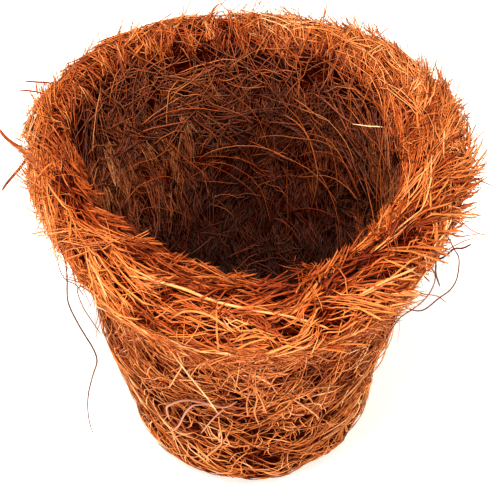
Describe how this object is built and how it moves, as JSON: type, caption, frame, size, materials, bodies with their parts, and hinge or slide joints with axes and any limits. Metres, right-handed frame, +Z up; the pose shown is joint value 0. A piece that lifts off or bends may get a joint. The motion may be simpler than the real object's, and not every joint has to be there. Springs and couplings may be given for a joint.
{
  "type": "pressed coconut coir plant pot",
  "caption": "Open tapered plant pot pressed from coconut coir fibre, with a felted wall and floor, a broad rolled brim and a shaggy edge of cut fibre ends.",
  "frame": {"origin": "centre of the flat underside", "axes": "+Z up out of the mouth, +X to the right of the reference view, +Y away from it"},
  "size_m": [0.1119, 0.1153, 0.1023],
  "materials": {
    "coir": "matte felted fibre"
  },
  "bodies": {
    "root": {"coir_pot": "coir"}
  },
  "joints": []
}
